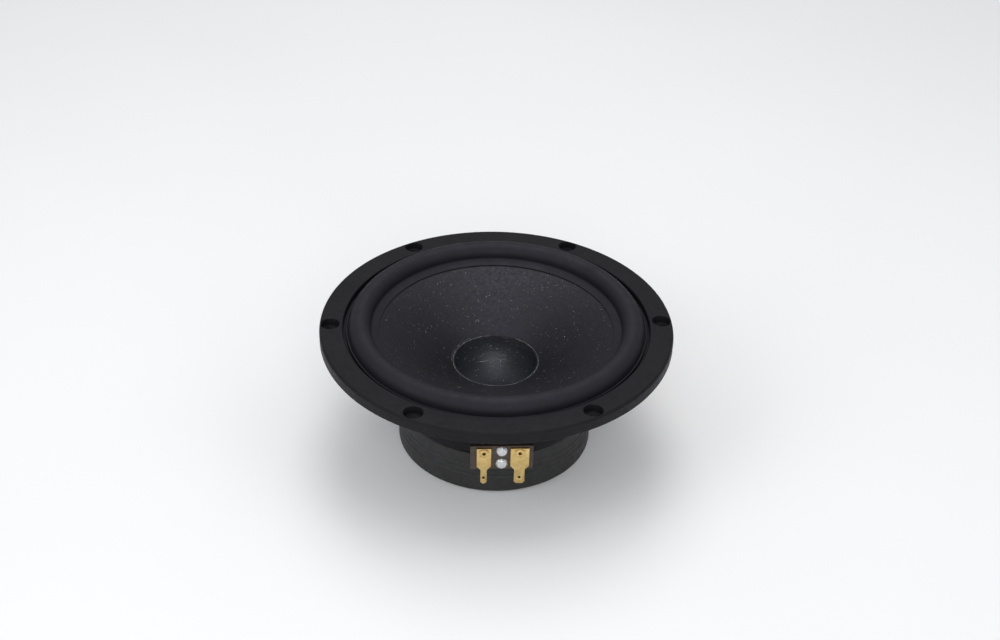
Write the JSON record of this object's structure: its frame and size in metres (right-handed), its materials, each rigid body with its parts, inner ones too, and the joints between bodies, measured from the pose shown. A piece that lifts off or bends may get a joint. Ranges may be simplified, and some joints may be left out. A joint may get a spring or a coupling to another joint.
{
  "type": "loudspeaker driver",
  "caption": "Round cone loudspeaker driver with a drilled mounting flange, rubber half-roll surround, domed dust cap, open basket, ring-magnet motor and two blade terminals.",
  "frame": {"origin": "centre of the mounting flange's rear face", "axes": "+Z along the speaker's axis, out of the front of the cone; +X through the centre of one screw hole; the terminals face -Y"},
  "size_m": [0.166, 0.166, 0.0699],
  "materials": {
    "powder_coat": "cast aluminium with a fine satin black powder coat",
    "surround_rubber": "matt charcoal nitrile rubber, smooth",
    "spider_cloth": "resin-stiffened woven cotton, tan",
    "plated_steel": "bright zinc plating",
    "ferrite": "fired strontium ferrite, dark grey",
    "screen_mesh": "woven steel mesh",
    "boot_rubber": "moulded black rubber, fine texture",
    "screw_steel": "black zinc",
    "fibre_board": "phenolic paper board, dark brown",
    "tab_brass": "stamped brass",
    "rivet_aluminium": "plain aluminium",
    "solder": "soft solder, slightly dull",
    "tinsel": "braided tinned copper",
    "cone_paper": "pressed paper pulp, matt charcoal",
    "cap_paper": "pressed paper, matt, cooler than the cone",
    "pale_adhesive": "dried clear adhesive, pale",
    "former_film": "amber polyimide film",
    "copper_wire": "enamelled copper wire",
    "black_adhesive": "black rubber-modified adhesive"
  },
  "bodies": {
    "frame": {"basket": "powder_coat", "surround": "surround_rubber", "spider": "spider_cloth", "top_plate": "plated_steel", "magnet": "ferrite", "back_plate": "plated_steel", "pole_piece": "plated_steel", "vent_screen": "screen_mesh", "magnet_boot": "boot_rubber", "motor_screws": "screw_steel", "terminal_board": "fibre_board", "terminal_positive": "tab_brass", "terminal_negative": "tab_brass", "tab_eyelets": "tab_brass", "board_rivets": "rivet_aluminium", "solder_joints": "solder", "lead_positive": "tinsel", "lead_negative": "tinsel"},
    "cone_assembly": {"cone": "cone_paper", "dust_cap": "cap_paper", "cap_glue_bead": "pale_adhesive", "voice_coil_former": "former_film", "voice_coil_winding": "copper_wire", "coil_lead_positive": "copper_wire", "coil_lead_negative": "copper_wire", "lead_anchor_positive": "black_adhesive", "lead_anchor_negative": "black_adhesive", "neck_adhesive": "black_adhesive"}
  },
  "joints": [
    {"name": "cone_travel", "type": "slide", "parent": "frame", "child": "cone_assembly", "axis": [0, 0, 1], "range_m": [-0.005, 0.005], "stiffness_N_per_m": 1000, "deforming": ["surround", "spider", "lead_positive", "lead_negative"]}
  ]
}
